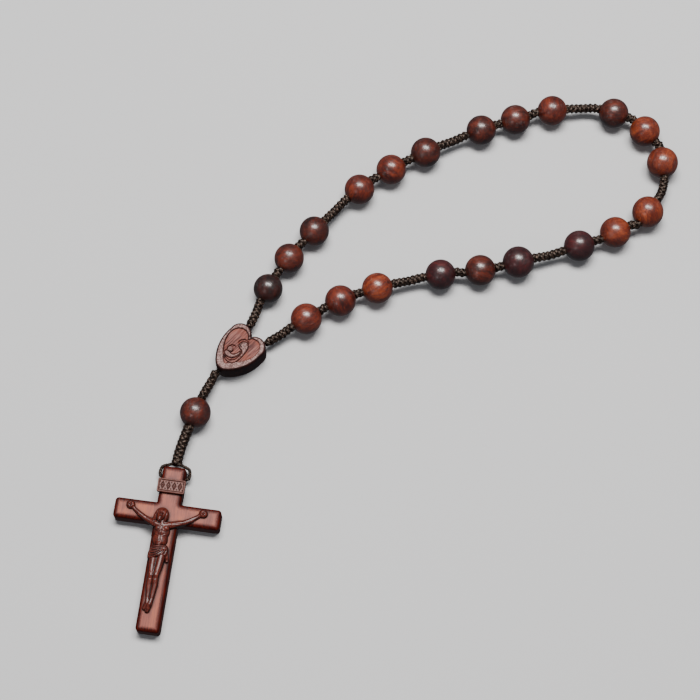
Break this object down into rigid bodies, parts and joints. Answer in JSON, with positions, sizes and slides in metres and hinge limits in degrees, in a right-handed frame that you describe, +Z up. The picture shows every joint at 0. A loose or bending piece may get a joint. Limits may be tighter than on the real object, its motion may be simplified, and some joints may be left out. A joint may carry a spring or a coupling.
{
  "type": "rosary",
  "caption": "Knotted-cord rosary lying open: round wooden beads in groups of three on a loop, a wooden heart where the loop closes, and a crucifix on a short pendant.",
  "frame": {"origin": "middle of the heart's back face, on the surface that the rosary lies on", "axes": "+Z up from that surface towards the heart's carved face; the loop lies towards +X and +Y, the crucifix towards -Y"},
  "size_m": [0.1909, 0.1894, 0.0107],
  "materials": {
    "bead_umber": "polished dark brown wood",
    "bead_red": "polished red-brown wood",
    "bead_orange": "polished orange-brown wood",
    "bead_purple": "polished purple-brown wood",
    "heart_wood": "sanded matte pinkish-brown wood",
    "cross_wood": "satin reddish wood",
    "plate_wood": "satin pinkish-brown wood",
    "figure_wood": "satin carved red-brown wood",
    "cord": "dark brown knotted cord"
  },
  "bodies": {
    "heart": {"heart": "heart_wood", "cord_end_left": "cord", "cord_end_right": "cord", "cord_end_tip": "cord"},
    "loop_near": {"cord_loop": "cord", "knot_heart_left": "cord", "knot_short_1": "cord", "knot_short_2": "cord", "knot_long_3": "cord", "knot_short_4": "cord", "knot_short_5": "cord", "knot_long_6": "cord", "knot_long_15": "cord", "knot_short_16": "cord", "knot_short_17": "cord", "knot_long_18": "cord", "knot_short_19": "cord", "knot_short_20": "cord", "knot_heart_right": "cord"},
    "loop_far": {"knot_short_7": "cord", "knot_short_8": "cord", "knot_long_9": "cord", "knot_short_10": "cord", "knot_short_11": "cord", "knot_long_12": "cord", "knot_short_13": "cord", "knot_short_14": "cord"},
    "bead_1": {"bead_1": "bead_umber"},
    "bead_2": {"bead_2": "bead_red"},
    "bead_3": {"bead_3": "bead_red"},
    "bead_4": {"bead_4": "bead_red"},
    "bead_5": {"bead_5": "bead_red"},
    "bead_6": {"bead_6": "bead_red"},
    "bead_7": {"bead_7": "bead_umber"},
    "bead_8": {"bead_8": "bead_orange"},
    "bead_9": {"bead_9": "bead_orange"},
    "bead_10": {"bead_10": "bead_umber"},
    "bead_11": {"bead_11": "bead_orange"},
    "bead_12": {"bead_12": "bead_orange"},
    "bead_13": {"bead_13": "bead_orange"},
    "bead_14": {"bead_14": "bead_orange"},
    "bead_15": {"bead_15": "bead_purple"},
    "bead_16": {"bead_16": "bead_purple"},
    "bead_17": {"bead_17": "bead_umber"},
    "bead_18": {"bead_18": "bead_purple"},
    "bead_19": {"bead_19": "bead_orange"},
    "bead_20": {"bead_20": "bead_red"},
    "bead_21": {"bead_21": "bead_red"},
    "tip_knot": {"tip_knot": "cord"},
    "pendant": {"pendant_knot_upper": "cord", "pendant_knot_lower": "cord", "cord_pendant": "cord", "cord_eye": "cord"},
    "bead_pendant": {"bead_pendant": "bead_umber"},
    "crucifix": {"cross": "cross_wood", "title_plate": "plate_wood", "corpus": "figure_wood"}
  },
  "joints": [
    {"name": "loop_lift", "type": "hinge", "parent": "heart", "child": "loop_near", "pos_m": [0.00746, 0.00746, 0.004], "axis": [0.7071, -0.7071, 0], "range_deg": [0, 90]},
    {"name": "loop_fold", "type": "hinge", "parent": "loop_near", "child": "loop_far", "pos_m": [0.0896, 0.0566, 0.0051], "axis": [0.6, -0.8, 0], "range_deg": [0, 120], "deforming": ["cord_loop", "knot_long_6", "knot_long_15"]},
    {"name": "pendant_swing", "type": "hinge", "parent": "heart", "child": "tip_knot", "pos_m": [-0.0075, -0.0075, 0.004], "axis": [0, 0, 1], "range_deg": [-60, 60]},
    {"name": "pendant_lift", "type": "hinge", "parent": "tip_knot", "child": "pendant", "pos_m": [-0.0075, -0.0075, 0.004], "axis": [0.9137, -0.4063, 0], "range_deg": [-90, 0]},
    {"name": "crucifix_swing", "type": "hinge", "parent": "pendant", "child": "crucifix", "pos_m": [-0.02, -0.0428, 0.003], "axis": [0.9907, -0.1357, 0], "range_deg": [-75, 0], "deforming": ["cord_eye"]},
    {"name": "bead_1_spin", "type": "hinge", "parent": "loop_near", "child": "bead_1", "pos_m": [0.01, 0.023, 0.00494], "axis": [0.4792, 0.8777, 0], "continuous": true},
    {"name": "bead_2_spin", "type": "hinge", "parent": "loop_near", "child": "bead_2", "pos_m": [0.017, 0.034, 0.00505], "axis": [0.5937, 0.8047, 0], "continuous": true},
    {"name": "bead_3_spin", "type": "hinge", "parent": "loop_near", "child": "bead_3", "pos_m": [0.0255, 0.044, 0.00505], "axis": [0.6779, 0.7351, 0], "continuous": true},
    {"name": "bead_4_spin", "type": "hinge", "parent": "loop_near", "child": "bead_4", "pos_m": [0.041, 0.0595, 0.00515], "axis": [0.77, 0.638, 0], "continuous": true},
    {"name": "bead_5_spin", "type": "hinge", "parent": "loop_near", "child": "bead_5", "pos_m": [0.052, 0.067, 0.00515], "axis": [0.8539, 0.5205, 0], "continuous": true},
    {"name": "bead_6_spin", "type": "hinge", "parent": "loop_near", "child": "bead_6", "pos_m": [0.064, 0.0735, 0.00515], "axis": [0.8988, 0.4383, 0], "continuous": true},
    {"name": "bead_7_spin", "type": "hinge", "parent": "loop_far", "child": "bead_7", "pos_m": [0.0835, 0.082, 0.00515], "axis": [0.9336, 0.3583, 0], "continuous": true},
    {"name": "bead_8_spin", "type": "hinge", "parent": "loop_far", "child": "bead_8", "pos_m": [0.0955, 0.086, 0.00515], "axis": [0.9576, 0.2882, 0], "continuous": true},
    {"name": "bead_9_spin", "type": "hinge", "parent": "loop_far", "child": "bead_9", "pos_m": [0.1085, 0.0895, 0.00515], "axis": [0.9941, 0.108, 0], "continuous": true},
    {"name": "bead_10_spin", "type": "hinge", "parent": "loop_far", "child": "bead_10", "pos_m": [0.13, 0.0885, 0.00515], "axis": [0.9501, -0.3119, 0], "continuous": true},
    {"name": "bead_11_spin", "type": "hinge", "parent": "loop_far", "child": "bead_11", "pos_m": [0.1405, 0.0815, 0.00525], "axis": [0.649, -0.7608, 0], "continuous": true},
    {"name": "bead_12_spin", "type": "hinge", "parent": "loop_far", "child": "bead_12", "pos_m": [0.146, 0.0695, 0.00536], "axis": [0.058, -0.9983, 0], "continuous": true},
    {"name": "bead_13_spin", "type": "hinge", "parent": "loop_far", "child": "bead_13", "pos_m": [0.14, 0.051, 0.00536], "axis": [-0.6078, -0.7941, 0], "continuous": true},
    {"name": "bead_14_spin", "type": "hinge", "parent": "loop_far", "child": "bead_14", "pos_m": [0.1285, 0.0435, 0.00525], "axis": [-0.8874, -0.4611, 0], "continuous": true},
    {"name": "bead_15_spin", "type": "hinge", "parent": "loop_far", "child": "bead_15", "pos_m": [0.116, 0.0385, 0.00525], "axis": [-0.9462, -0.3235, 0], "continuous": true},
    {"name": "bead_16_spin", "type": "hinge", "parent": "loop_near", "child": "bead_16", "pos_m": [0.095, 0.0325, 0.00536], "axis": [-0.9683, -0.2499, 0], "continuous": true},
    {"name": "bead_17_spin", "type": "hinge", "parent": "loop_near", "child": "bead_17", "pos_m": [0.082, 0.0295, 0.00525], "axis": [-0.9858, -0.1679, 0], "continuous": true},
    {"name": "bead_18_spin", "type": "hinge", "parent": "loop_near", "child": "bead_18", "pos_m": [0.0685, 0.028, 0.00515], "axis": [-0.9857, -0.1688, 0], "continuous": true},
    {"name": "bead_19_spin", "type": "hinge", "parent": "loop_near", "child": "bead_19", "pos_m": [0.047, 0.023, 0.00525], "axis": [-0.9591, -0.2831, 0], "continuous": true},
    {"name": "bead_20_spin", "type": "hinge", "parent": "loop_near", "child": "bead_20", "pos_m": [0.0345, 0.0185, 0.00525], "axis": [-0.909, -0.4169, 0], "continuous": true},
    {"name": "bead_21_spin", "type": "hinge", "parent": "loop_near", "child": "bead_21", "pos_m": [0.023, 0.012, 0.00525], "axis": [-0.8598, -0.5106, 0], "continuous": true},
    {"name": "bead_pendant_spin", "type": "hinge", "parent": "pendant", "child": "bead_pendant", "pos_m": [-0.0135, -0.021, 0.00515], "axis": [-0.3629, -0.9318, 0], "continuous": true}
  ]
}
